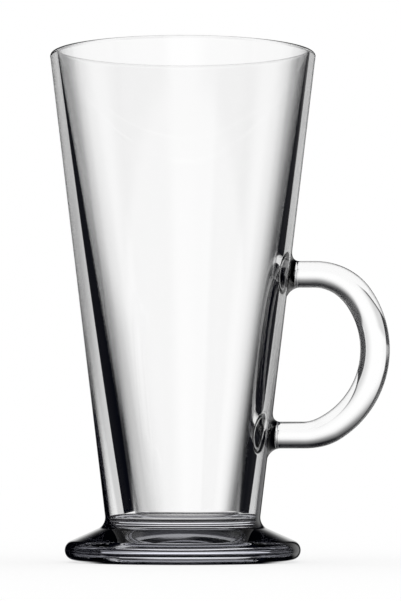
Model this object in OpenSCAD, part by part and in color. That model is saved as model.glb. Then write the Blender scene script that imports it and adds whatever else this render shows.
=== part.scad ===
// Irish coffee glass mug: a tall, heavy-based tapering bowl on a pressed foot, with a
// round bar handle fused to its side. Millimetres, +Z up, handle towards +X.
// The origin is the centre of the ring that the foot rests on.

/* [Bowl] */
// Height from the table to the top of the rim
overall_h = 150; // [130:0.5:170]
// Outer diameter of the bowl's cone, carried up to the rim plane
rim_d = 78.8; // [72:0.2:86]
// Thickness of the glass at the rim, measured level
rim_wall = 2.5; // [1.8:0.1:3.6]
// Radius of each side of the rounded lip
lip_r = 1.1; // [0.5:0.1:1.6]
// Diameter of the cavity's cone, carried down to its floor
floor_d = 30.2; // [26:0.2:34]
// Height of the cavity floor's edge above the table
floor_h = 12.9; // [12:0.1:18]
// Depth of the floor's middle below its edge
floor_dish = 0.4; // [0:0.1:1]
// Radius where the floor turns up into the wall
floor_corner_r = 2.4; // [1.6:0.2:5]

/* [Foot] */
// Greatest diameter of the foot
foot_d = 69.2; // [62:0.2:78]
// Height of the foot's widest line above the table
foot_edge_h = 3.55; // [3.1:0.05:4.5]
// Radius of the foot's rounded edge
foot_edge_r = 3.05; // [2:0.05:3.1]
// Diameter of the sharp corner that the neck's fillet rounds
neck_d = 45; // [42:0.2:50]
// Height of that corner above the table
neck_h = 10.9; // [9.5:0.1:11.5]
// Radius of the fillet from the foot's slope up into the bowl
neck_r = 3.6; // [2.4:0.1:6]
// Outer diameter of the resting ring
rest_d = 60.4; // [54:0.2:62]
// Width of the resting ring
rest_w = 4.2; // [2:0.1:6]
// Depth of the recess inside the resting ring
recess_h = 1.2; // [0.6:0.1:2]
// Further rise of the recess's dome to its middle
recess_rise = 1.4; // [0.4:0.1:2]

/* [Handle] */
// Height of the upper arm's middle line above the table
upper_arm_h = 84.5; // [78:0.5:94]
// Height of the lower arm's middle line above the table
lower_arm_h = 37.2; // [30:0.2:44]
// Distance from the mug's axis to the outside of the bend
handle_reach = 60.9; // [58:0.1:68]
// Thickness of the handle's bar round the bend
bar_d = 8.7; // [7:0.1:10]
// Thickness of each arm where it leaves the bowl
arm_d = 7.9; // [6.6:0.1:9]
// Radius of the two turns that join the arms to the bend, on the middle line
turn_r = 15.7; // [10:0.1:18]
// Height of the bend's centre above the middle between the arms
bend_rise = 1.6; // [0:0.1:3]
// How much larger the bend's radius is than it needs to be to reach the lower arm
bend_bulge = 1.65; // [0.8:0.05:3]
// Radius of the fillet where an arm spreads onto the bowl
pad_r = 3; // [1.5:0.1:4]

/* [Hidden] */
$fn = 96;

// Overrun of every cutting solid past what it cuts
overrun = 1;
// Straight steps that each rounded corner is drawn in
corner_steps = 14;
// Share of the neck fillet's sweep, from below, at which bowl and foot are fused
joint_share = 0.24;
// Most of the rim's thickness that one side of the lip may take
lip_limit_share = 0.48;
// Sides of the handle's bar, and steps along its bend, each turn and each pad
bar_sides = 24;
bend_steps = 16;
turn_steps = 7;
pad_steps = 7;

glass_tint = [0.86, 0.91, 0.92, 0.45];

// Point at a given distance and angle from a centre
function polar(centre, r, angle) = centre + r * [cos(angle), sin(angle)];
function angle_of(v) = atan2(v.y, v.x);
function unit(v) = v / norm(v);

// Points along an arc, both ends included
function arc(centre, r, from, to) =
    [for (i = [0:corner_steps]) polar(centre, r, from + (to - from) * i / corner_steps)];

// Centre, first angle and last angle of the arc that rounds corner b of the path a, b, c
function corner(a, b, c, r) =
    let (
        u = unit(a - b),
        v = unit(c - b),
        half = acos(u * v) / 2,
        centre = b + unit(u + v) * r / sin(half),
        from = angle_of(b + u * r / tan(half) - centre),
        turn = (180 - 2 * half) * sign(u.x * v.y - u.y * v.x)
    )
    [centre, from, from - turn];

function rounded(a, b, c, r) =
    let (k = corner(a, b, c, r))
    arc(k[0], r, k[1], k[2]);

// Angle of the point where a line from an outside point touches a circle, on the given side
function touch_angle(point, centre, r, side) =
    angle_of(point - centre) + side * acos(r / norm(point - centre));

// Key points of the glass section, as [distance from the axis, height]
floor_middle = [0, floor_h - floor_dish];
floor_edge = [floor_d / 2, floor_h];
rim_inner = [rim_d / 2 - rim_wall, overall_h];
rim_outer = [rim_d / 2, overall_h];
neck = [neck_d / 2, neck_h];
edge_centre = [foot_d / 2 - foot_edge_r, foot_edge_h];
edge_top_angle = touch_angle(neck, edge_centre, foot_edge_r, -1);
rest_outer = [rest_d / 2, 0];
edge_low_angle = touch_angle(rest_outer, edge_centre, foot_edge_r, 1);
edge_top = polar(edge_centre, foot_edge_r, edge_top_angle);
rest_inner = [rest_d / 2 - rest_w, 0];
recess_edge = [rest_inner.x - recess_h, recess_h];
lip = min(lip_r, rim_wall * lip_limit_share);

// Radius and centre of the recess's dome, which is level on the axis
dome_r = (pow(recess_edge.x, 2) + pow(recess_rise, 2)) / (2 * recess_rise);
dome_centre = [0, recess_h + recess_rise - dome_r];
dome_edge_angle = angle_of(recess_edge - dome_centre);

// Height of the level seam at which the bowl was set on its foot
neck_corner = corner(rim_outer, neck, edge_top, neck_r);
joint_angle = neck_corner[2] + (neck_corner[1] - neck_corner[2]) * joint_share;
joint_h = polar(neck_corner[0], neck_r, joint_angle).y;

// Outer radius of the bowl's cone at a height
function wall_r(h) = neck.x + (rim_outer.x - neck.x) * (h - neck.y) / (rim_outer.y - neck.y);

// Handle's middle line: two level arms, two turns and one large bend
arm_gap = upper_arm_h - lower_arm_h;
bend_r = arm_gap / 2 + bend_rise + bend_bulge;
bend_centre = [handle_reach - bar_d / 2 - bend_r, lower_arm_h + arm_gap / 2 + bend_rise];
upper_turn_h = upper_arm_h - turn_r;
lower_turn_h = lower_arm_h + turn_r;
function turn_x(h) = bend_centre.x + sqrt(pow(bend_r - turn_r, 2) - pow(h - bend_centre.y, 2));
upper_turn = [turn_x(upper_turn_h), upper_turn_h];
lower_turn = [turn_x(lower_turn_h), lower_turn_h];
upper_join_angle = angle_of(upper_turn - bend_centre);
lower_join_angle = angle_of(lower_turn - bend_centre);

// Section of the whole vessel, from the cavity floor over the rim and down under the foot
vessel_outline = concat(
    [floor_middle],
    rounded(floor_middle, floor_edge, rim_inner, floor_corner_r),
    rounded(floor_edge, rim_inner, rim_outer, lip),
    rounded(rim_inner, rim_outer, neck, lip),
    rounded(rim_outer, neck, edge_top, neck_r),
    arc(edge_centre, foot_edge_r, edge_top_angle, edge_low_angle),
    [rest_outer, rest_inner],
    arc(dome_centre, dome_r, dome_edge_angle, 90)
);

module vessel() {
    rotate_extrude() polygon(vessel_outline);
}

// Everything from one height to another, wider than the vessel and its foot
module slab(from, to) {
    translate([0, 0, from])
        cylinder(h = to - from, d = max(rim_d, foot_d) + overrun);
}

// Tapering bowl with its cavity and rounded lip, down to the level seam
module bowl() {
    color(glass_tint)
        intersection() {
            vessel();
            slab(joint_h, overall_h + overrun);
        }
}

// Pressed foot: neck fillet, sloping top, round edge, resting ring and shallow recess
module foot() {
    color(glass_tint)
        intersection() {
            vessel();
            slab(-overrun, joint_h);
        }
}

// Distance from the axis plane to the bowl's outer face, at a depth and a height
function face_x(y, h) = sqrt(pow(wall_r(h), 2) - y * y);

// Ring of points round the bar, square to the middle line's heading
function bar_ring(centre, heading, d) = [
    for (i = [0:bar_sides - 1])
        let (a = 360 * i / bar_sides, p = polar(centre, d / 2 * cos(a), heading + 90))
        [p.x, d / 2 * sin(a), p.y]
];

// Rings along an arc of the middle line, tapering from one thickness to another
function bar_arc(centre, r, from, to, steps, d_from, d_to) = [
    for (i = [0:steps])
        let (share = i / steps, a = from + (to - from) * share)
        bar_ring(polar(centre, r, a), a - 90, d_from + (d_to - d_from) * share)
];

// Ring of a pad, a share of the way along its fillet. The ring at 0 follows the bowl's
// curved face from inside the glass, and the ring at 1 is the plain arm's.
function pad_ring(h, side, share) = [
    for (i = [0:bar_sides - 1])
        let (
            a = 360 * i / bar_sides,
            r = arm_d / 2 + pad_r * (1 - sin(90 * share)),
            y = r * sin(a),
            z = h + side * r * cos(a),
            seat = face_x(y, z) * (1 - share) + wall_r(h) * share,
            lift = share > 0 ? pad_r * (1 - cos(90 * share)) : -overrun
        )
        [seat + lift, y, z]
];

// Rings of one pad, from inside the bowl's face out to the plain arm
function pad(h, side) = [for (i = [0:pad_steps]) pad_ring(h, side, i / pad_steps)];

function backwards(list) = [for (i = [len(list) - 1:-1:0]) list[i]];

handle_rings = concat(
    pad(upper_arm_h, 1),
    bar_arc(upper_turn, turn_r, 90, upper_join_angle, turn_steps, arm_d, bar_d),
    bar_arc(bend_centre, bend_r, upper_join_angle, lower_join_angle, bend_steps, bar_d, bar_d),
    bar_arc(lower_turn, turn_r, lower_join_angle, -90, turn_steps, bar_d, arm_d),
    backwards(pad(lower_arm_h, -1))
);

// Closed skin over a list of rings with the same number of points
module skin(rings) {
    n = len(rings[0]);
    last = len(rings) - 1;
    polyhedron(
        points = [for (ring = rings) each ring],
        faces = concat(
            [[for (i = [0:n - 1]) i]],
            [
                for (j = [0:last - 1], i = [0:n - 1])
                    let (k = (i + 1) % n)
                    each [
                        [j * n + i, (j + 1) * n + i, (j + 1) * n + k],
                        [j * n + i, (j + 1) * n + k, j * n + k]
                    ]
            ],
            [[for (i = [n - 1:-1:0]) last * n + i]]
        )
    );
}

// Solid cone of the bowl's outer face, which the handle's pads lie on
module bowl_cone() {
    translate([0, 0, neck.y])
        cylinder(h = rim_outer.y - neck.y, r1 = neck.x, r2 = rim_outer.x);
}

// Round bar handle, fused face to face on the bowl
module handle() {
    color(glass_tint)
        difference() {
            skin(handle_rings);
            bowl_cone();
        }
}

bowl();
foot();
handle();
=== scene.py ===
"""Tall clear glass mug for irish coffee: a thick tapering bowl on a pressed foot, with one
round bar handle fused to its side. It stands on a pale floor in a studio for glassware.
"""

import logging
import math
from dataclasses import dataclass
from enum import IntEnum
from typing import Any, Optional, Sequence

import bpy
import numpy as np
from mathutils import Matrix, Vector


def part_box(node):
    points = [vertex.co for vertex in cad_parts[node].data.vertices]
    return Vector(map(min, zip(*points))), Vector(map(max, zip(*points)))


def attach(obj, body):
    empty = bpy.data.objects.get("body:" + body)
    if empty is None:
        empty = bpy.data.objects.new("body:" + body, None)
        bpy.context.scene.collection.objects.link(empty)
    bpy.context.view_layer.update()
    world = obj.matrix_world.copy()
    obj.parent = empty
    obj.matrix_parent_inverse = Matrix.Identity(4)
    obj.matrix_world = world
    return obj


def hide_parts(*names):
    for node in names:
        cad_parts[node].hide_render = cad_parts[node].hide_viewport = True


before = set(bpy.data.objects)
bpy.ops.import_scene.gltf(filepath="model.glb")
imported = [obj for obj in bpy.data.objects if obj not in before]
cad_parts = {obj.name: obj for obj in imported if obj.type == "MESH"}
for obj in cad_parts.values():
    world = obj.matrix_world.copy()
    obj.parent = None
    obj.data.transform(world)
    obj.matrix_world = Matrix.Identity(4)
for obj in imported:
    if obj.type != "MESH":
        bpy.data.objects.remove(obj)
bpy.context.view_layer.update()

LOG = logging.getLogger("mug")
MM = 0.001
ONLY_BODY = "root"

# Steps round the mug's axis, and how many of them lie on each side of a handle pad's centre
SEGMENTS = 360
PATCH_CELLS = 24

Array = np.ndarray
Tree = bpy.types.NodeTree
Socket = bpy.types.NodeSocket
Material = bpy.types.Material

# Distance from the axis and height of a point in the section, or a first and a last value
Pair = tuple[float, float]


class Side(IntEnum):
    """What a face of a piece borders on, which decides its material."""

    AIR = 0
    FUSED = 1
    STIPPLED = 2
    CAVITY = 3


# Colour and node helpers


def linear(hex_colour: str) -> tuple[float, float, float, float]:
    """Turn an sRGB hex colour into Blender's linear RGBA.

    Args:
        hex_colour: Colour such as "#f4f6f5".

    Returns:
        Linear red, green, blue and an alpha of 1.
    """
    digits = hex_colour.lstrip("#")
    parts = [int(digits[i:i + 2], 16) / 255 for i in (0, 2, 4)]
    red, green, blue = (
        part / 12.92 if part <= 0.04045 else ((part + 0.055) / 1.055) ** 2.4 for part in parts
    )
    return red, green, blue, 1.0


def feed(node: bpy.types.Node, inputs: dict[Any, Any]) -> None:
    """Set a node's inputs or link them.

    Args:
        node: The node.
        inputs: By name or index, each input's value, or the level or socket that feeds it.
    """
    for name, value in inputs.items():
        source = value.socket if isinstance(value, Level) else value
        if isinstance(source, Socket):
            node.id_data.links.new(source, node.inputs[name])
        else:
            node.inputs[name].default_value = source


def add_node(
    tree: Tree, kind: str, inputs: Optional[dict[Any, Any]] = None, **settings: Any
) -> bpy.types.Node:
    """Add a node with its settings, its input values and the links into it.

    Args:
        tree: Node tree that gets the node.
        kind: Blender's name of the node type.
        inputs: What its inputs get, as in feed.
        settings: Attributes of the node itself.

    Returns:
        The new node.
    """
    node = tree.nodes.new(kind)
    for name, value in settings.items():
        setattr(node, name, value)
    feed(node, inputs or {})
    return node


@dataclass(frozen=True)
class Ramp:
    """Smooth change from one level to another as a value goes from a start to an end."""

    start: float
    end: float
    before: float = 0.0
    after: float = 1.0


@dataclass(frozen=True)
class Level:
    """Number that a node tree works out for each ray. Its arithmetic adds to the tree."""

    socket: Socket

    def step(self, operation: str, other: Any = 0.0, clamp: bool = False) -> "Level":
        """Add one step of arithmetic to the tree.

        Args:
            operation: Blender's name of the operation.
            other: The level or plain number that it takes after this one.
            clamp: Whether the result is kept from 0 to 1.

        Returns:
            The result.
        """
        node = add_node(
            self.socket.id_data, "ShaderNodeMath", {0: self, 1: other},
            operation=operation, use_clamp=clamp,
        )
        return Level(node.outputs[0])

    def along(self, ramp: Ramp) -> "Level":
        """Follow a ramp.

        Args:
            ramp: The ramp, whose start and end are values of this level.

        Returns:
            The ramp's level.
        """
        node = add_node(
            self.socket.id_data, "ShaderNodeMapRange",
            {0: self, 1: ramp.start, 2: ramp.end, 3: ramp.before, 4: ramp.after},
            interpolation_type="SMOOTHSTEP",
        )
        return Level(node.outputs[0])

    def __add__(self, other: Any) -> "Level":
        """Return the sum with a level or number."""
        return self.step("ADD", other)

    def __sub__(self, other: Any) -> "Level":
        """Return the difference from a level or number."""
        return self.step("SUBTRACT", other)

    def __mul__(self, other: Any) -> "Level":
        """Return the product with a level or number."""
        return self.step("MULTIPLY", other)

    def __abs__(self) -> "Level":
        """Return the level without its sign."""
        return self.step("ABSOLUTE")

    def highest(self, other: "Level") -> "Level":
        """Return the higher of two levels."""
        return self.step("MAXIMUM", other)

    @property
    def clamped(self) -> "Level":
        """Return the level kept from 0 to 1."""
        return self.step("ADD", clamp=True)

    @property
    def rest(self) -> "Level":
        """Return what the level leaves of 1."""
        return self * -1.0 + 1.0


# Finishes


@dataclass(frozen=True)
class SodaLimeGlass:
    """Clear soda-lime glass, which bends light with an IOR of about 1.52.

    Its kinds differ in how they were formed, and so in the relief of their faces.
    """

    name: str
    tint: str = "#ffffff"
    ior: float = 1.52
    roughness: float = 0.0
    relief_mm: float = 0.0

    def relief(self, tree: Tree, where: Socket) -> Socket:
        """Return the pattern of the relief over the places in an object."""
        raise NotImplementedError

    def material(self) -> Material:
        """Return the glass as a material."""
        material = bpy.data.materials.new(self.name)
        material.use_nodes = True
        tree = material.node_tree
        where = add_node(tree, "ShaderNodeTexCoord").outputs["Object"]
        height = self.relief(tree, where)
        distance = self.relief_mm * MM
        bump = add_node(
            tree, "ShaderNodeBump", {"Strength": 1.0, "Distance": distance, "Height": height}
        )
        feed(tree.nodes["Principled BSDF"], {
            "Base Color": linear(self.tint),
            "Roughness": self.roughness,
            "IOR": self.ior,
            "Transmission Weight": 1.0,
            "Normal": bump.outputs["Normal"],
        })
        return material


@dataclass(frozen=True)
class PolishedGlass(SodaLimeGlass):
    """The glass pressed in an iron mould and fire-polished, with no roughness of its own.

    The flame leaves a slow waviness, which makes the dark edges run a little unevenly.
    Where the eye looks along the glass, painted shade in the glass's colour darkens its
    edges, the more the flatter the look. It is strongest in the thick lower wall and weakest
    in the thin rim.
    """

    name: str = "soda_lime_glass_fire_polished"
    relief_mm: float = 0.004
    wave_mm: float = 14.0
    wave_detail: float = 1.0
    wave_roughness: float = 0.4
    # Colour of the painted shade along the edges
    painted_edge_shade: str = "#040406"
    edge: Ramp = Ramp(0.48, 0.76)
    wall_share: Ramp = Ramp(40 * MM, 115 * MM, 1.0, 0.25)
    base_share: Ramp = Ramp(15 * MM, 45 * MM, 0.45, 0.0)

    def relief(self, tree: Tree, where: Socket) -> Socket:
        """Return the pattern of the flame's waves."""
        waves = {"Scale": 1 / (self.wave_mm * MM), "Detail": self.wave_detail}
        waves |= {"Roughness": self.wave_roughness, "Vector": where}
        return add_node(tree, "ShaderNodeTexNoise", waves).outputs["Fac"]

    def material(self) -> Material:
        """Return the glass as a material with painted shade along its edges."""
        material = super().material()
        tree = material.node_tree
        where = add_node(tree, "ShaderNodeTexCoord").outputs["Object"]
        height = Level(add_node(tree, "ShaderNodeSeparateXYZ", {0: where}).outputs["Z"])
        slant = Level(add_node(tree, "ShaderNodeLayerWeight").outputs["Facing"])
        # Painted shade: the glass's colour darkens where the eye looks along it, more in the
        # thick lower wall
        thickness = height.along(self.wall_share) + height.along(self.base_share)
        depth = (slant.along(self.edge) * thickness).clamped
        tone = add_node(
            tree, "ShaderNodeMix", {0: depth, 6: linear(self.tint), 7: linear(self.painted_edge_shade)},
            data_type="RGBA",
        )
        feed(tree.nodes["Principled BSDF"], {"Base Color": tone.outputs[2]})
        return material


@dataclass(frozen=True)
class StippledGlass(SodaLimeGlass):
    """The glass where it was pressed against the mould's stippled resting ring.

    The fine pits keep the ring from chipping. Seen through the foot they break the light into
    a speckled band. Their real spacing of about 0.5 mm is drawn at 0.8 mm, so that it shows.
    """

    name: str = "soda_lime_glass_stippled_ring"
    roughness: float = 0.04
    relief_mm: float = 0.06
    pit_mm: float = 0.8
    pit_softness: float = 0.5

    def relief(self, tree: Tree, where: Socket) -> Socket:
        """Return the pattern of the pits."""
        pits = {"Scale": 1 / (self.pit_mm * MM), "Smoothness": self.pit_softness, "Vector": where}
        return add_node(
            tree, "ShaderNodeTexVoronoi", pits, feature="SMOOTH_F1"
        ).outputs["Distance"]


@dataclass(frozen=True)
class FusedJoint:
    """The hot-fused joint between two pieces of glass.

    The glass runs on through it without a break, so it shows nothing and bends no light.
    """

    name: str = "glass_fused_joint"

    def material(self) -> Material:
        """Return the unseen joint as a material."""
        material = bpy.data.materials.new(self.name)
        material.use_nodes = True
        tree = material.node_tree
        tree.nodes.clear()
        clear = add_node(tree, "ShaderNodeBsdfTransparent")
        add_node(tree, "ShaderNodeOutputMaterial", {"Surface": clear.outputs[0]})
        return material


# Inside the cavity the plunger left the glass smooth, and its painted edge shade starts sooner
# and is lighter.
CAVITY_GLASS = PolishedGlass(
    name="soda_lime_glass_plunger_pressed",
    painted_edge_shade="#141418",
    edge=Ramp(0.40, 0.70),
    wall_share=Ramp(40 * MM, 115 * MM, 1.0, 0.5),
    base_share=Ramp(15 * MM, 45 * MM, 0.0, 0.0),
)

# The foot is the thickest glass, and its depth takes a little of the light.
FOOT_GLASS = PolishedGlass(name="soda_lime_glass_mould_pressed", tint="#e9eaf6")

# The handle is a drawn and bent bar, as thick all along, so its painted edge shade is even.
BAR_GLASS = PolishedGlass(
    name="soda_lime_glass_drawn_bar",
    edge=Ramp(0.42, 0.76),
    wall_share=Ramp(40 * MM, 115 * MM, 0.9, 0.8),
    base_share=Ramp(15 * MM, 45 * MM, 0.0, 0.0),
)


# Plane geometry of the glass section


def smooth(share: float) -> float:
    """Ease a share from 0 to 1, level at both ends."""
    return share * share * (3 - 2 * share)


@dataclass(frozen=True)
class SectionPoint:
    """Point of the glass section, in millimetres, with the direction that faces the air."""

    r: float
    z: float
    out_r: float
    out_z: float


def polar(centre: Pair, radius: float, angle: float) -> Pair:
    """Return the point at a distance and an angle, in radians, from a centre."""
    return centre[0] + radius * math.cos(angle), centre[1] + radius * math.sin(angle)


def touch_angle(point: Pair, centre: Pair, radius: float, side: int) -> float:
    """Find where a line from an outside point touches a circle.

    Args:
        point: Point outside the circle.
        centre: The circle's centre.
        radius: The circle's radius.
        side: 1 or -1, for the two lines that touch.

    Returns:
        Angle of the touching point, seen from the centre, in radians.
    """
    away = math.atan2(point[1] - centre[1], point[0] - centre[0])
    return away + side * math.acos(radius / math.dist(point, centre))


def arc(centre: Pair, radius: float, start: float, end: float, steps: int) -> list[SectionPoint]:
    """Draw an arc of the section. One that turns clockwise bulges towards the air.

    Args:
        centre: The arc's centre.
        radius: The arc's radius.
        start: First angle in radians.
        end: Last angle in radians.
        steps: Number of straight steps.

    Returns:
        The arc's points, both ends included.
    """
    bulge = 1 if end < start else -1
    points = []
    for i in range(steps + 1):
        angle = start + (end - start) * i / steps
        r, z = polar(centre, radius, angle)
        points.append(SectionPoint(r, z, bulge * math.cos(angle), bulge * math.sin(angle)))
    return points


@dataclass(frozen=True)
class Fillet:
    """Arc that rounds corner b of the path a, b, c."""

    a: Pair
    b: Pair
    c: Pair
    radius: float

    def key(self) -> tuple[Pair, float, float]:
        """Return the arc's centre, first angle and last angle."""
        corner = Vector(self.b)
        u = (Vector(self.a) - corner).normalized()
        v = (Vector(self.c) - corner).normalized()
        half = u.angle(v) / 2
        centre = corner + (u + v).normalized() * self.radius / math.sin(half)
        first = corner + u * self.radius / math.tan(half) - centre
        start = math.atan2(first.y, first.x)
        turn = (math.pi - 2 * half) * math.copysign(1, u.x * v.y - u.y * v.x)
        return (centre.x, centre.y), start, start - turn

    def points(self, steps: int, first: float = 0, last: float = 1) -> list[SectionPoint]:
        """Draw the arc, or a share of it.

        Args:
            steps: Number of straight steps.
            first: Share of the sweep where it starts.
            last: Share of the sweep where it ends.

        Returns:
            The arc's points, both ends included.
        """
        centre, start, end = self.key()
        sweep = end - start
        return arc(centre, self.radius, start + sweep * first, start + sweep * last, steps)


def straight(a: SectionPoint, b: SectionPoint, steps: int) -> list[SectionPoint]:
    """Draw a straight stretch of the section.

    Args:
        a: Point before it.
        b: Point after it, whose direction it takes.
        steps: Number of steps from the one to the other.

    Returns:
        The evenly spaced points between the two.
    """
    shares = [i / steps for i in range(1, steps)]
    return [
        SectionPoint(a.r + (b.r - a.r) * t, a.z + (b.z - a.z) * t, b.out_r, b.out_z)
        for t in shares
    ]


# Meshes


def cell_corners(grid: Array) -> Array:
    """Return the values at the four corners of each cell of a grid, in order round it."""
    return np.stack([grid[:-1, :-1], grid[1:, :-1], grid[1:, 1:], grid[:-1, 1:]], axis=-1)


def about_axis(radius: Array, turn: Array, rise: Any) -> Array:
    """Return the points, or directions, at distances from the axis, turns and heights."""
    parts = np.broadcast_arrays(radius * np.cos(turn), radius * np.sin(turn), rise)
    return np.stack(parts, axis=-1)


class Skin:
    """Points, air-side directions and faces of one piece, gathered before its mesh is made."""

    def __init__(self) -> None:
        """Start with nothing."""
        self.points: list[Array] = []
        self.normals: list[Array] = []
        self.faces: list[tuple[int, ...]] = []
        self.sides: list[int] = []
        self.count = 0

    def add_points(self, points: Array, normals: Array) -> Array:
        """Take in points.

        Args:
            points: Array whose last axis is x, y, z in millimetres.
            normals: The directions there that face the air, in the same shape.

        Returns:
            The points' numbers, in that shape without its last axis.
        """
        shape = points.shape[:-1]
        size = math.prod(shape)
        self.points.append(points.reshape(size, 3))
        self.normals.append(normals.reshape(size, 3))
        numbers = np.arange(self.count, self.count + size).reshape(shape)
        self.count += size
        return numbers

    def add_quads(self, numbers: Array, sides: Any, closed: bool = False) -> None:
        """Add a sheet of four-sided faces over a grid of point numbers.

        Args:
            numbers: Grid of point numbers.
            sides: What the faces border on: one Side, or one for each row or face.
            closed: Whether the sheet runs on from its last column to its first.
        """
        if closed:
            numbers = np.concatenate([numbers, numbers[:, :1]], axis=1)
        quads = cell_corners(numbers)
        self.faces.extend(map(tuple, quads.reshape(-1, 4).tolist()))
        self.sides.extend(np.broadcast_to(sides, quads.shape[:2]).reshape(-1).tolist())

    def add_fan(
        self, hub: tuple[float, float, float], ring: Array, side: Side, facing: int
    ) -> None:
        """Close a level ring of points with triangles that meet at one point.

        Args:
            hub: The point in the middle.
            ring: Numbers of the ring's points, against the clock from above.
            side: What the triangles border on.
            facing: 1 for up, and -1 for down.
        """
        middle = self.add_points(np.array([hub], float), np.array([[0.0, 0.0, facing]])).item()
        for p, q in zip(ring.tolist(), np.roll(ring, -1).tolist()):
            self.faces.append((middle, p, q) if facing > 0 else (middle, q, p))
            self.sides.append(int(side))

    def to_object(self, name: str, finishes: Sequence[Material]) -> bpy.types.Object:
        """Make the mesh object, with smooth faces and its own air-side directions.

        Args:
            name: Name of the object and its mesh.
            finishes: Materials, in the order of Side.

        Returns:
            The object, in the scene's collection.
        """
        mesh = bpy.data.meshes.new(name)
        mesh.from_pydata((np.concatenate(self.points) * MM).tolist(), [], self.faces)
        mesh.polygons.foreach_set("material_index", self.sides)
        mesh.polygons.foreach_set("use_smooth", [True] * len(self.faces))
        for finish in finishes:
            mesh.materials.append(finish)
        mesh.update()
        mesh.normals_split_custom_set_from_vertices(np.concatenate(self.normals).tolist())
        piece = bpy.data.objects.new(name, mesh)
        bpy.context.scene.collection.objects.link(piece)
        return piece


def revolve(section: Sequence[SectionPoint]) -> tuple[Array, Array]:
    """Turn a stretch of the section round the mug's axis.

    Args:
        section: Points of the section, in order.

    Returns:
        Points and directions, each as an array of rows, steps and x, y, z.
    """
    turn = 2 * math.pi * np.arange(SEGMENTS) / SEGMENTS
    rows = np.array([(p.r, p.z, p.out_r, p.out_z) for p in section])
    r, z, out_r, out_z = rows.T[..., None]
    return about_axis(r, turn, z), about_axis(out_r, turn, out_z)


# The mug's sizes, in millimetres


@dataclass
class MugShape:
    """Sizes of the mug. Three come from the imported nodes, and the rest are as in part.scad.

    The dish's rounding, the cavity's lean and the resting ring's soft edges are only here.
    """

    overall_h: float
    foot_d: float
    handle_reach: float
    rim_d: float = 78.8
    rim_wall: float = 2.5
    lip_r: float = 1.1
    lip_limit_share: float = 0.48
    floor_d: float = 30.2
    floor_h: float = 12.9
    floor_dish: float = 0.4
    floor_corner_r: float = 2.4
    dish_r: float = 300.0
    cavity_lean: float = 0.9
    foot_edge_h: float = 3.55
    foot_edge_r: float = 3.05
    neck_d: float = 45.0
    neck_h: float = 10.9
    neck_r: float = 3.6
    rest_d: float = 60.4
    rest_w: float = 4.2
    rest_edge_r: float = 0.4
    recess_h: float = 1.2
    recess_rise: float = 1.4
    joint_share: float = 0.24
    upper_arm_h: float = 84.5
    lower_arm_h: float = 37.2
    bar_d: float = 8.7
    arm_d: float = 7.9
    turn_r: float = 15.7
    bend_rise: float = 1.6
    bend_bulge: float = 1.65
    pad_r: float = 3.0

    @classmethod
    def from_frame(cls) -> "MugShape":
        """Take the height, the foot's width and the handle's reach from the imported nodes."""
        foot_low, foot_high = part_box("foot")
        return cls(
            overall_h=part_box("bowl")[1][2] / MM,
            foot_d=(foot_high[0] - foot_low[0]) / MM,
            handle_reach=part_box("handle")[1][0] / MM,
        )

    @property
    def rim_outer(self) -> Pair:
        """Return the sharp outer corner that the lip rounds."""
        return self.rim_d / 2, self.overall_h

    @property
    def rim_inner(self) -> Pair:
        """Return the sharp inner corner that the lip rounds."""
        return self.rim_d / 2 - self.rim_wall, self.overall_h

    @property
    def neck(self) -> Pair:
        """Return the sharp corner that the neck's fillet rounds."""
        return self.neck_d / 2, self.neck_h

    @property
    def edge_centre(self) -> Pair:
        """Return the centre of the foot's rounded edge."""
        return self.foot_d / 2 - self.foot_edge_r, self.foot_edge_h

    def wall_radius(self, z: Any) -> Any:
        """Return the outer radius of the bowl's cone at a height."""
        (r0, z0), (r1, z1) = self.neck, self.rim_outer
        return r0 + (r1 - r0) * (z - z0) / (z1 - z0)

    def wall_normal(self) -> Pair:
        """Return the direction, outwards and upwards, that the bowl's outer wall faces."""
        (r0, z0), (r1, z1) = self.neck, self.rim_outer
        length = math.hypot(r1 - r0, z1 - z0)
        return (z1 - z0) / length, (r0 - r1) / length

    def neck_fillet(self) -> Fillet:
        """Return the fillet between the bowl's wall and the foot's slope."""
        angle = touch_angle(self.neck, self.edge_centre, self.foot_edge_r, -1)
        edge_top = polar(self.edge_centre, self.foot_edge_r, angle)
        return Fillet(self.rim_outer, self.neck, edge_top, self.neck_r)


# The pieces


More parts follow.
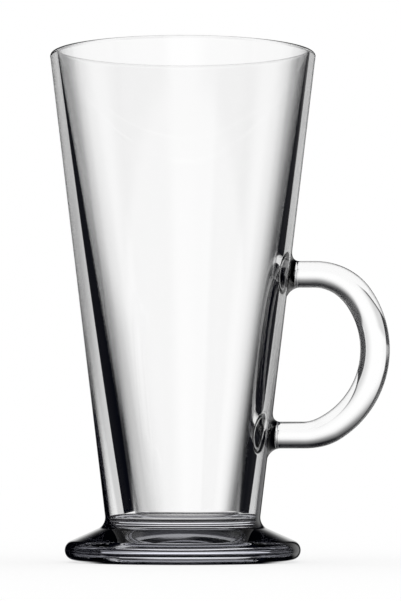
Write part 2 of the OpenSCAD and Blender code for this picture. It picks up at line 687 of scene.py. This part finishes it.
@dataclass(frozen=True)
class Pad:
    """Round pad where the handle is fused to the bowl, and the patch of wall around it.

    The patch is a square grid of cells. Its inner half is drawn as circles round the pad's
    centre, and its outer half widens from the pad's edge to the square.
    """

    shape: MugShape
    height: float
    cells: int = PATCH_CELLS
    half_angle: float = 2 * math.pi * PATCH_CELLS / SEGMENTS
    half_height: float = 11.0

    @property
    def radius(self) -> float:
        """Return the radius of the pad's edge."""
        return self.shape.arm_d / 2 + self.shape.pad_r

    @property
    def edge_level(self) -> int:
        """Return the level of the patch that is the pad's edge."""
        return self.cells // 2

    def levels(self) -> Array:
        """Return how many cells each grid point lies from the centre, by rows upwards."""
        step = np.abs(np.arange(-self.cells, self.cells + 1))
        return np.maximum(step[:, None], step[None, :])

    def patch(self) -> tuple[Array, Array]:
        """Place the patch on the bowl's wall.

        Returns:
            Points and directions, by rows upwards and columns against the clock from above.
        """
        step = np.arange(-self.cells, self.cells + 1, dtype=float)
        across, up = np.meshgrid(step, step)
        level = self.levels().astype(float)
        safe = np.maximum(level, 1)
        upright = np.abs(up) >= np.abs(across)
        slant = np.where(upright, across / safe, up / safe) * math.pi / 4
        from_top = np.where(upright, slant, math.pi / 2 - slant)
        sign_up = np.where(upright, np.sign(up), 1)
        sign_across = np.where(upright, 1, np.sign(across))
        radius = self.radius * np.minimum(level / self.edge_level, 1)
        y = radius * np.sin(from_top) * sign_across
        z = self.height + radius * np.cos(from_top) * sign_up
        angle = np.arcsin(y / self.shape.wall_radius(z))
        blend = np.clip(level / self.edge_level - 1, 0, 1)
        square_angle = self.half_angle * across / safe
        square_z = self.height + self.half_height * up / safe
        angle = angle * (1 - blend) + square_angle * blend
        z = z * (1 - blend) + square_z * blend
        out_r, out_z = self.shape.wall_normal()
        points = about_axis(self.shape.wall_radius(z), angle, z)
        return points, about_axis(np.array(out_r), angle, out_z)

    def edge_cells(self) -> list[tuple[int, int]]:
        """List the row and column of the pad's edge points, from the top towards +Y."""
        n = self.edge_level
        rising = range(-n, n)
        falling = range(n, -n, -1)
        top, left = [(n, i) for i in rising], [(i, -n) for i in rising]
        right, bottom = [(i, n) for i in falling], [(-n, i) for i in falling]
        ring = top[n:] + right + bottom + left + top[:n]
        return [(self.cells + up, self.cells + across) for up, across in ring]


@dataclass
class Bowl:
    """The tapering vessel: cavity, thick wall and fire-polished lip, down to the fused joint."""

    shape: MugShape
    pads: Sequence[Pad]
    corner_steps: int = 24
    inner_wall_steps: int = 27
    wall_step: float = 5.0

    def inner_section(self) -> list[SectionPoint]:
        """Draw the cavity from the axis, over the lip, to the top of the outer wall."""
        s = self.shape
        edge = (s.floor_d / 2, s.floor_h)
        middle = (0.0, s.floor_h - s.floor_dish)
        facing = (-edge[0], edge[1])
        dish = Fillet(facing, middle, edge, s.dish_r).points(2 * self.corner_steps)
        corner = Fillet(middle, edge, s.rim_inner, s.floor_corner_r).points(self.corner_steps)
        lip_r = min(s.lip_r, s.rim_wall * s.lip_limit_share)
        lip = Fillet(edge, s.rim_inner, s.rim_outer, lip_r).points(self.corner_steps)
        return [
            *dish[self.corner_steps:],
            *corner,
            *straight(corner[-1], lip[0], self.inner_wall_steps),
            *lip,
            *Fillet(s.rim_inner, s.rim_outer, s.neck, lip_r).points(self.corner_steps),
        ]

    def wall_heights(self) -> list[float]:
        """List the heights of the outer wall's rows, downwards, with each pad's own rows."""
        s = self.shape
        top = s.overall_h - s.lip_r
        bottom = s.neck_fillet().points(1)[0].z
        heights: list[float] = []
        for pad in sorted(self.pads, key=lambda p: -p.height):
            heights += self.between(top, pad.height + pad.half_height)
            rows = np.linspace(pad.half_height, -pad.half_height, 2 * pad.cells + 1)
            heights += (pad.height + rows).tolist()
            top = pad.height - pad.half_height
        return heights + self.between(top, bottom)

    def between(self, top: float, bottom: float) -> list[float]:
        """List evenly spaced heights between two, without the two themselves."""
        steps = max(2, round((top - bottom) / self.wall_step))
        return [top + (bottom - top) * i / steps for i in range(1, steps)]

    def build(self, finishes: Sequence[Material]) -> bpy.types.Object:
        """Make the bowl.

        Args:
            finishes: Materials, in the order of Side.

        Returns:
            The bowl's object.
        """
        s = self.shape
        out_r, out_z = s.wall_normal()
        middle, *inner = self.inner_section()
        lip_rows = self.corner_steps + 1
        heights = self.wall_heights()
        wall = [SectionPoint(s.wall_radius(z), z, out_r, out_z) for z in heights]
        neck = s.neck_fillet().points(self.corner_steps, last=1 - s.joint_share)
        points, normals = revolve([*inner, *wall, *neck])
        cavity = points[:len(inner) - lip_rows]
        depth = (s.overall_h - cavity[..., 2]) / (s.overall_h - s.floor_h)
        cavity[..., 0] += s.cavity_lean * depth
        sides = np.full((len(points) - 1, SEGMENTS), Side.AIR)
        sides[:len(inner) - 2 * lip_rows] = Side.CAVITY
        for pad in self.pads:
            top_row = len(inner) + heights.index(pad.height + pad.half_height)
            self.imprint(pad, top_row, points, normals, sides)
        skin = Skin()
        numbers = skin.add_points(points, normals)
        skin.add_quads(numbers, sides, closed=True)
        skin.add_fan((s.cavity_lean, 0, middle.z), numbers[0], Side.CAVITY, 1)
        skin.add_fan((0, 0, neck[-1].z), numbers[-1], Side.FUSED, -1)
        return skin.to_object("glass_bowl", finishes)

    def imprint(
        self, pad: Pad, top_row: int, points: Array, normals: Array, sides: Array
    ) -> None:
        """Fit a pad's patch into the wall's grid and mark the fused faces inside its edge.

        Args:
            pad: The pad.
            top_row: Row of the grid that is the patch's top.
            points: The grid's points, changed in place.
            normals: The grid's directions, changed in place.
            sides: The sides of the grid's faces, changed in place.
        """
        rows = np.arange(top_row, top_row + 2 * pad.cells + 1)
        columns = np.arange(-pad.cells, pad.cells + 1) % SEGMENTS
        patch_points, patch_normals = pad.patch()
        points[np.ix_(rows, columns)] = patch_points[::-1]
        normals[np.ix_(rows, columns)] = patch_normals[::-1]
        inside = cell_corners(pad.levels()).max(axis=-1) <= pad.edge_level
        fused = np.where(inside, Side.FUSED, Side.AIR)
        sides[np.ix_(rows[:-1], columns[:-1])] = fused[::-1]


@dataclass
class Foot:
    """The pressed foot: neck, sloping top, round edge, stippled resting ring and recess.

    The faces below rest_level, in millimetres, are the resting ring's.
    """

    shape: MugShape
    corner_steps: int = 24
    slope_steps: int = 8
    rest_edge_steps: int = 6
    rest_level: float = 0.05

    def section(self) -> list[SectionPoint]:
        """Draw the foot from the fused joint, round its edge, to the axis below."""
        s = self.shape
        steps = self.rest_edge_steps
        top_angle = touch_angle(s.neck, s.edge_centre, s.foot_edge_r, -1)
        rest_outer = (s.rest_d / 2, 0.0)
        rest_inner = (s.rest_d / 2 - s.rest_w, 0.0)
        low_angle = touch_angle(rest_outer, s.edge_centre, s.foot_edge_r, 1)
        edge_low = polar(s.edge_centre, s.foot_edge_r, low_angle)
        recess_edge = (rest_inner[0] - s.recess_h, s.recess_h)
        neck = s.neck_fillet().points(self.corner_steps, first=1 - s.joint_share)
        edge = arc(s.edge_centre, s.foot_edge_r, top_angle, low_angle, self.corner_steps)
        dome_r = (recess_edge[0] ** 2 + s.recess_rise ** 2) / (2 * s.recess_rise)
        dome_centre = (0.0, s.recess_h + s.recess_rise - dome_r)
        dome_start = math.atan2(recess_edge[1] - dome_centre[1], recess_edge[0])
        return [
            *neck,
            *straight(neck[-1], edge[0], self.slope_steps),
            *edge,
            *Fillet(edge_low, rest_outer, rest_inner, s.rest_edge_r).points(steps),
            *Fillet(rest_outer, rest_inner, recess_edge, s.rest_edge_r).points(steps),
            *arc(dome_centre, dome_r, dome_start, math.pi / 2, 2 * self.corner_steps),
        ]

    def build(self, finishes: Sequence[Material]) -> bpy.types.Object:
        """Make the foot.

        Args:
            finishes: Materials, in the order of Side.

        Returns:
            The foot's object.
        """
        *section, middle = self.section()
        points, normals = revolve(section)
        tops = [max(a.z, b.z) for a, b in zip(section, section[1:])]
        sides = [[Side.STIPPLED if top < self.rest_level else Side.AIR] for top in tops]
        skin = Skin()
        numbers = skin.add_points(points, normals)
        skin.add_quads(numbers, sides, closed=True)
        skin.add_fan((0, 0, section[0].z), numbers[0], Side.FUSED, 1)
        skin.add_fan((0, 0, middle.z), numbers[-1], Side.AIR, -1)
        return skin.to_object("glass_foot", finishes)


@dataclass
class Handle:
    """The bent round bar, whose two ends spread into pads on the bowl's wall."""

    shape: MugShape
    upper: Pad
    lower: Pad
    bend_steps: int = 72
    turn_steps: int = 28
    pad_steps: int = 24

    @property
    def turn(self) -> Array:
        """Return the angles of the points round the bar, as many as a pad's edge has."""
        count = len(self.upper.edge_cells())
        return 2 * math.pi * np.arange(count) / count

    def ring(self, centre: Pair, outward: float, diameter: float) -> Array:
        """Place a ring of points round the bar.

        Args:
            centre: Its centre, in the upright plane through the axis.
            outward: Angle in that plane of the way out of the bend.
            diameter: The bar's thickness.

        Returns:
            The ring's points.
        """
        reach = diameter / 2 * np.cos(self.turn)
        return np.stack([
            centre[0] + reach * math.cos(outward),
            diameter / 2 * np.sin(self.turn),
            centre[1] + reach * math.sin(outward),
        ], axis=-1)

    def bow(
        self, centre: Pair, radius: float, angles: Pair, steps: int, diameters: Pair
    ) -> list[Array]:
        """Place rings along an arc of the middle line.

        Args:
            centre: The arc's centre.
            radius: The arc's radius.
            angles: Its first and last angle, in radians.
            steps: Number of steps along it.
            diameters: The bar's thickness at its first and last ring.

        Returns:
            The rings.
        """
        rings = []
        for i in range(steps + 1):
            share = i / steps
            angle = angles[0] + (angles[1] - angles[0]) * share
            diameter = diameters[0] + (diameters[1] - diameters[0]) * smooth(share)
            rings.append(self.ring(polar(centre, radius, angle), angle, diameter))
        return rings

    def pad_rings(self, pad: Pad, side: int) -> list[Array]:
        """Place the rings of a pad, from the bowl's wall out to the plain arm.

        Args:
            pad: The pad.
            side: 1 where the rings start at the top, -1 where they start at the bottom.

        Returns:
            The rings.
        """
        s = self.shape
        rings = []
        for i in range(self.pad_steps + 1):
            share = i / self.pad_steps
            radius = s.arm_d / 2 + s.pad_r * (1 - math.sin(share * math.pi / 2))
            y = radius * np.sin(self.turn)
            z = pad.height + side * radius * np.cos(self.turn)
            face = np.sqrt(s.wall_radius(z) ** 2 - y ** 2)
            seat = face + (s.wall_radius(pad.height) - face) * smooth(share)
            lift = s.pad_r * (1 - math.cos(share * math.pi / 2))
            rings.append(np.stack([seat + lift, y, z], axis=-1))
        return rings

    def rings(self) -> Array:
        """Place all rings, from the upper pad round the bend to the lower pad."""
        s = self.shape
        gap = self.upper.height - self.lower.height
        bend_r = gap / 2 + s.bend_rise + s.bend_bulge
        bend_centre = (
            s.handle_reach - s.bar_d / 2 - bend_r, self.lower.height + gap / 2 + s.bend_rise
        )
        turns = []
        for height in (self.upper.height - s.turn_r, self.lower.height + s.turn_r):
            run = math.sqrt((bend_r - s.turn_r) ** 2 - (height - bend_centre[1]) ** 2)
            turns.append((bend_centre[0] + run, height))
        high, low = (math.atan2(z - bend_centre[1], x - bend_centre[0]) for x, z in turns)
        top, bottom = (math.pi / 2, high), (low, -math.pi / 2)
        return np.array([
            *self.pad_rings(self.upper, 1),
            *self.bow(turns[0], s.turn_r, top, self.turn_steps, (s.arm_d, s.bar_d)),
            *self.bow(bend_centre, bend_r, (high, low), self.bend_steps, (s.bar_d, s.bar_d))[1:],
            *self.bow(turns[1], s.turn_r, bottom, self.turn_steps, (s.bar_d, s.arm_d))[1:],
            *self.pad_rings(self.lower, -1)[::-1],
        ])

    def build(self, finishes: Sequence[Material]) -> bpy.types.Object:
        """Make the handle.

        Args:
            finishes: Materials, in the order of Side.

        Returns:
            The handle's object.
        """
        points = self.rings()
        along = np.gradient(points, axis=0)
        around = np.roll(points, -1, axis=1) - np.roll(points, 1, axis=1)
        normals = np.cross(along, around)
        normals /= np.linalg.norm(normals, axis=-1, keepdims=True)
        skin = Skin()
        numbers = skin.add_points(points, normals)
        skin.add_quads(numbers, Side.AIR, closed=True)
        self.close(skin, self.upper, numbers[0])
        self.close(skin, self.lower, np.roll(numbers[-1][::-1], len(self.turn) // 2 + 1))
        return skin.to_object("glass_handle", finishes)

    def close(self, skin: Skin, pad: Pad, edge: Array) -> None:
        """Close an end of the handle with the faces that are fused to the bowl.

        Args:
            skin: The handle's skin.
            pad: The pad at this end.
            edge: Numbers of the end ring's points, from the top towards +Y.
        """
        points, normals = pad.patch()
        inside = slice(pad.cells - pad.edge_level + 1, pad.cells + pad.edge_level)
        numbers = np.full(points.shape[:2], -1)
        numbers[inside, inside] = skin.add_points(
            points[inside, inside], -normals[inside, inside]
        )
        for (row, column), number in zip(pad.edge_cells(), edge.tolist()):
            numbers[row, column] = number
        whole = slice(pad.cells - pad.edge_level, pad.cells + pad.edge_level + 1)
        skin.add_quads(numbers[whole, whole], Side.FUSED)


# The studio


@dataclass(frozen=True)
class RayHistory:
    """What has happened to a ray of light before it reaches the studio."""

    tree: Tree
    cavity_faces: Ramp = Ramp(2.5, 3.5)
    few_mirrorings: Ramp = Ramp(1.0, 3.4, 1.0, 0.0)
    folded_from: Ramp = Ramp(1.5, 2.5)
    folded_up_to: Ramp = Ramp(5.2, 7.5, 1.0, 0.0)

    def read(self, name: str) -> Level:
        """Return one of the facts that Blender keeps about a ray's path."""
        return Level(add_node(self.tree, "ShaderNodeLightPath").outputs[name])

    @property
    def bent(self) -> Level:
        """Return 1 for a ray that comes mirrored or through glass."""
        return (self.read("Is Glossy Ray") + self.read("Is Transmission Ray")).clamped

    @property
    def seen(self) -> Level:
        """Return 1 for a ray that looks at the studio, straight, mirrored or through glass."""
        return (self.read("Is Camera Ray") + self.bent).clamped

    @property
    def inside(self) -> Level:
        """Return 1 for light that has been inside the glass, and 0 for a plain reflection."""
        return self.read("Transmission Depth").clamped

    @property
    def cavity(self) -> Level:
        """Return 1 for light that has been through the cavity, and so through four faces."""
        return self.read("Transmission Depth").along(self.cavity_faces)

    @property
    def kept(self) -> Level:
        """Return how much is left of light after its mirrorings inside the glass."""
        return self.read("Glossy Depth").along(self.few_mirrorings)

    @property
    def folded(self) -> Level:
        """Return 1 for light that the glass has mirrored inside itself two to six times."""
        mirrorings = self.read("Glossy Depth")
        return mirrorings.along(self.folded_from) * mirrorings.along(self.folded_up_to)


@dataclass
class StudioFloor:
    """Pale floor. To the eye it is plain white, with the mug's shadow.

    Glass also shows what lies round and under its foot. There it sees a ring of painted
    shade, a painted contact shadow that reaches further before the mug and behind it, which
    darkens the foot. Near the foot, seen from above, and before the mug, in plain reflections,
    the floor is painted darker too. At a flat angle the floor turns clear, and the glass sees
    the surroundings below it as a painted reflection of the studio.

    Distances are in metres. Slant goes from 0, seen from straight above, to 1, seen flat.
    """

    radius: float = 6.0
    corners: int = 96
    colour: str = "#ffffff"
    shade: str = "#07080f"
    glow_share: float = 0.7
    white_middle: Ramp = Ramp(16 * MM, 24 * MM, 1.0, 0.0)
    white_outside: Ramp = Ramp(31 * MM, 42 * MM)
    # How much further the painted contact shadow reaches before and behind the mug
    painted_shadow_reach: Ramp = Ramp(math.radians(25), math.radians(40), 16 * MM, 0.0)
    behind_mug: Ramp = Ramp(0.0, 100 * MM)
    seen_steeply: Ramp = Ramp(0.2, 0.75, 0.3, 1.0)
    clear_of_foot: Ramp = Ramp(42 * MM, 55 * MM)
    mirroring: Ramp = Ramp(0.66, 0.80)

    def build(self) -> None:
        """Make the round floor."""
        mesh = bpy.data.meshes.new("studio_floor")
        turn = [2 * math.pi * i / self.corners for i in range(self.corners)]
        rim = [(self.radius * math.cos(a), self.radius * math.sin(a), 0) for a in turn]
        mesh.from_pydata(rim, [], [tuple(range(self.corners))])
        mesh.materials.append(self.material())
        floor = bpy.data.objects.new("studio_floor", mesh)
        bpy.context.scene.collection.objects.link(floor)

    def material(self) -> Material:
        """Return the floor's material: matt paper for the eye, and for the glass a glow with
        painted shade and a painted reflection.
        """
        material = bpy.data.materials.new("pale_studio_floor")
        material.use_nodes = True
        tree = material.node_tree
        tree.nodes.clear()
        history = RayHistory(tree)
        white = linear(self.colour)
        slant = Level(add_node(tree, "ShaderNodeLayerWeight").outputs["Facing"])
        matt = add_node(tree, "ShaderNodeBsdfDiffuse", {"Color": white}).outputs[0]
        glow = add_node(tree, "ShaderNodeEmission", {"Color": white}).outputs[0]
        share = history.seen * self.glow_share
        paper = add_node(tree, "ShaderNodeMixShader", {0: share, 1: matt, 2: glow}).outputs[0]
        tones = {0: self.level(history, slant), 6: linear(self.shade), 7: white}
        tone = add_node(tree, "ShaderNodeMix", tones, data_type="RGBA").outputs[2]
        # Painted shade: the floor's glow for the glass runs from the shade colour to white
        lit = add_node(tree, "ShaderNodeEmission", {"Color": tone}).outputs[0]
        clear = add_node(tree, "ShaderNodeBsdfTransparent").outputs[0]
        # At a flat angle the floor turns clear, and the glass sees the surroundings below as a
        # painted reflection
        share = slant.along(self.mirroring)
        cards = add_node(tree, "ShaderNodeMixShader", {0: share, 1: lit, 2: clear}).outputs[0]
        either = add_node(tree, "ShaderNodeMixShader", {0: history.bent, 1: paper, 2: cards})
        add_node(tree, "ShaderNodeOutputMaterial", {"Surface": either.outputs[0]})
        return material

    def level(self, history: RayHistory, slant: Level) -> Level:
        """Work out how bright a spot of the floor is to the glass, with its painted shade.

        Args:
            history: What has happened to the ray.
            slant: How flat the ray meets the floor.

        Returns:
            The level, from 0 to 1.
        """
        tree = history.tree
        where = add_node(tree, "ShaderNodeTexCoord").outputs["Object"]
        x, y, _ = map(Level, add_node(tree, "ShaderNodeSeparateXYZ", {0: where}).outputs)
        length = add_node(tree, "ShaderNodeVectorMath", {0: where}, operation="LENGTH")
        reach = Level(length.outputs["Value"])
        # Painted contact shadow: a dark ring round the foot, reaching further before and behind
        # the mug
        past_painted_shadow = reach - abs(x).step("ARCTAN2", abs(y)).along(self.painted_shadow_reach)
        white = reach.along(self.white_middle).highest(past_painted_shadow.along(self.white_outside))
        # Painted shade: in plain reflections the floor before the mug is dark
        behind = y.along(self.behind_mug).highest(history.inside)
        # Painted shade: near the foot, seen from above, the floor is dimmer
        dimmed = slant.along(self.seen_steeply).highest(reach.along(self.clear_of_foot))
        return white * behind * history.kept * dimmed


@dataclass(frozen=True)
class Direction:
    """Direction in which a ray leaves for the surroundings, in degrees.

    Its turn is counted from straight behind the mug or straight before it, positive to the
    right, and its rise from level. Aside is the turn without its sign. Slope is the rise
    without its sign, so that below the level the surroundings repeat the studio above as a
    painted reflection in the floor. Half is 1 behind the mug and 0 before it.
    """

    turn: Level
    rise: Level
    aside: Level
    slope: Level
    half: Level


@dataclass
class Surroundings:
    """White surroundings. To the eye and for their light they are plain and even.

    Clear glass is all but unseen in them, so for the glass there is a soft white window
    behind the mug, a white screen on each side and another behind the camera, with dark
    cards between them. The cards draw the black bands along the bowl's edges. Near level
    the window and the side screens have sharp edges, and higher up they have soft ones.
    """

    colour: str = "#ffffff"
    shade: str = "#07080f"
    fading_up: Ramp = Ramp(8.0, 26.0, 1.0, 0.25)
    top_edge: Ramp = Ramp(22.0, 38.0, 1.0, 0.0)
    ceiling: Ramp = Ramp(8.0, 34.0, 0.0, 0.5)
    low_white: Ramp = Ramp(-13.4, -12.3, 1.0, 0.0)
    sharp_low: Ramp = Ramp(9.0, 12.0, 0.72, 0.06)
    window_right: Ramp = Ramp(8.0, 26.0, 1.0, 0.0)
    window_left: Ramp = Ramp(-20.0, -8.0)
    window_far_left: Ramp = Ramp(-36.0, -30.0)
    far_left_from: Ramp = Ramp(-2.5, 0.0)
    sharp_right: Ramp = Ramp(30.5, 32.5, 1.0, 0.0)
    sharp_left: Ramp = Ramp(-36.8, -35.2)
    cavity_left: Ramp = Ramp(-18.0, -6.0, 0.78, 1.0)
    cavity_right: Ramp = Ramp(5.0, 26.0, 1.0, 0.0)
    grey_card: Ramp = Ramp(3.0, 8.0, 0.42, 0.0)
    grey_card_from: Ramp = Ramp(0.0, 1.5)
    side_screen: Ramp = Ramp(70.0, 83.0)
    side_screen_sharp: Ramp = Ramp(63.0, 68.0)
    half: Ramp = Ramp(-0.1, 0.1)
    glint_from: Ramp = Ramp(15.0, 25.0)
    glint_strength: Ramp = Ramp(36.0, 46.0, 0.5, 0.06)
    glint_middle: Ramp = Ramp(6.0, 12.0, 1.0, 0.0)
    front_screen: Ramp = Ramp(50.0, 75.0, 1.0, 0.0)

    def build(self) -> None:
        """Make the world."""
        world = bpy.data.worlds.new("white_surroundings")
        world.use_nodes = True
        tree = world.node_tree
        tree.nodes.clear()
        history = RayHistory(tree)
        where = add_node(tree, "ShaderNodeTexCoord").outputs["Generated"]
        x, y, z = map(Level, add_node(tree, "ShaderNodeSeparateXYZ", {0: where}).outputs)
        turn = x.step("ARCTAN2", abs(y)).step("DEGREES")
        rise = z.step("ARCSINE").step("DEGREES")
        # Painted reflection: below the level the surroundings repeat those above
        way = Direction(turn, rise, abs(turn), abs(rise), y.along(self.half))
        ceiling = way.rise.along(self.ceiling) * history.folded
        studio = (self.level(history, way) * history.kept + ceiling).clamped
        white = linear(self.colour)
        tones = {0: studio, 6: linear(self.shade), 7: white}
        tone = add_node(tree, "ShaderNodeMix", tones, data_type="RGBA").outputs[2]
        tones = {0: history.bent, 6: white, 7: tone}
        tone = add_node(tree, "ShaderNodeMix", tones, data_type="RGBA").outputs[2]
        glow = add_node(tree, "ShaderNodeBackground", {"Color": tone})
        add_node(tree, "ShaderNodeOutputWorld", {"Surface": glow.outputs[0]})
        bpy.context.scene.world = world

    def level(self, history: RayHistory, way: Direction) -> Level:
        """Work out how bright the studio is to the glass.

        Args:
            history: What has happened to the ray.
            way: The ray's direction.

        Returns:
            The level, from 0 to 1.
        """
        inside = history.inside
        cavity = way.turn.along(self.cavity_left) * way.turn.along(self.cavity_right)
        window = self.window(way) * cavity.highest(history.cavity.rest)
        through = (window + self.sides(way)) * inside
        plain = self.reflected(way) * inside.rest
        height = way.rise.along(self.fading_up) * way.slope.along(self.top_edge)
        low = way.rise.along(self.low_white) * inside
        return ((through + plain) * height).highest(low)

    def window(self, way: Direction) -> Level:
        """Work out the window behind the mug.

        Args:
            way: The ray's direction.

        Returns:
            The window's level.
        """
        far_left = way.turn.along(self.window_far_left) * way.rise.along(self.far_left_from)
        left = far_left.highest(way.turn.along(self.window_left))
        wide = way.turn.along(self.window_right) * left
        narrow = way.turn.along(self.sharp_right) * way.turn.along(self.sharp_left)
        return self.by_slope(way, wide, narrow)

    def by_slope(self, way: Direction, soft: Level, sharp: Level) -> Level:
        """Blend two levels: mostly the sharp-edged one at small slopes, and then the soft one."""
        share = way.slope.along(self.sharp_low)
        return soft * share.rest + sharp * share

    def sides(self, way: Direction) -> Level:
        """Work out the white screens beside the mug and the grey card at the left.

        Args:
            way: The ray's direction.

        Returns:
            The level of the screens and the card.
        """
        soft, sharp = (way.aside.along(r) for r in (self.side_screen, self.side_screen_sharp))
        screens = self.by_slope(way, soft, sharp)
        card = way.turn.along(self.sharp_left).rest * way.slope.along(self.grey_card)
        return screens.highest(card * way.rise.along(self.grey_card_from))

    def reflected(self, way: Direction) -> Level:
        """Work out what the outer faces mirror. It is little, so that the bands stay black.

        Args:
            way: The ray's direction.

        Returns:
            The level of a plain reflection.
        """
        glint = way.turn.along(self.glint_from) * way.turn.along(self.glint_strength)
        glint = (glint + way.aside.along(self.glint_middle)) * way.half
        return glint + way.aside.along(self.front_screen) * way.half.rest


@dataclass
class Viewpoint:
    """The photograph's viewpoint: almost level, a little above the table, with a long lens."""

    distance: float = 910.0
    height: float = 25.0
    aim_x: float = 5.2
    aim_z: float = 76.8
    lens: float = 185.4
    sensor: float = 36.0

    def build(self) -> None:
        """Make the camera and set it as the scene's."""
        data = bpy.data.cameras.new("viewpoint")
        data.lens = self.lens
        data.sensor_width = self.sensor
        data.sensor_fit = "AUTO"
        camera = bpy.data.objects.new("viewpoint", data)
        bpy.context.scene.collection.objects.link(camera)
        camera.location = Vector((self.aim_x, -self.distance, self.height)) * MM
        aim = Vector((self.aim_x, 0, self.aim_z)) * MM
        camera.rotation_euler = (aim - camera.location).to_track_quat("-Z", "Y").to_euler()
        bpy.context.scene.camera = camera


@dataclass(frozen=True)
class LightPaths:
    """How far light is followed. It has to pass through enough faces of the glass."""

    bounces: int = 16
    unseen_faces: int = 64
    clamp: float = 0.0

    def settle(self) -> None:
        """Give the scene these limits."""
        cycles = bpy.context.scene.cycles
        cycles.max_bounces = self.bounces
        cycles.transmission_bounces = self.bounces
        cycles.glossy_bounces = self.bounces
        cycles.transparent_max_bounces = self.unseen_faces
        cycles.sample_clamp_indirect = self.clamp


def main() -> None:
    """Build the mug's pieces, then the studio and the viewpoint."""
    logging.basicConfig(level=logging.INFO, format="%(name)s: %(message)s")
    bpy.context.scene.view_settings.view_transform = "Standard"
    shape = MugShape.from_frame()
    shared = [FusedJoint().material(), StippledGlass().material(), CAVITY_GLASS.material()]
    upper = Pad(shape, shape.upper_arm_h)
    lower = Pad(shape, shape.lower_arm_h)
    pieces = {
        "bowl": Bowl(shape, (upper, lower)).build([PolishedGlass().material(), *shared]),
        "foot": Foot(shape).build([FOOT_GLASS.material(), *shared]),
        "handle": Handle(shape, upper, lower).build([BAR_GLASS.material(), *shared]),
    }
    for node, piece in pieces.items():
        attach(piece, ONLY_BODY)
        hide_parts(node)
        LOG.info("%s stands for %s, with %d faces", piece.name, node, len(piece.data.polygons))
    StudioFloor().build()
    Surroundings().build()
    Viewpoint().build()
    LightPaths().settle()


if __name__ == "__main__":
    main()
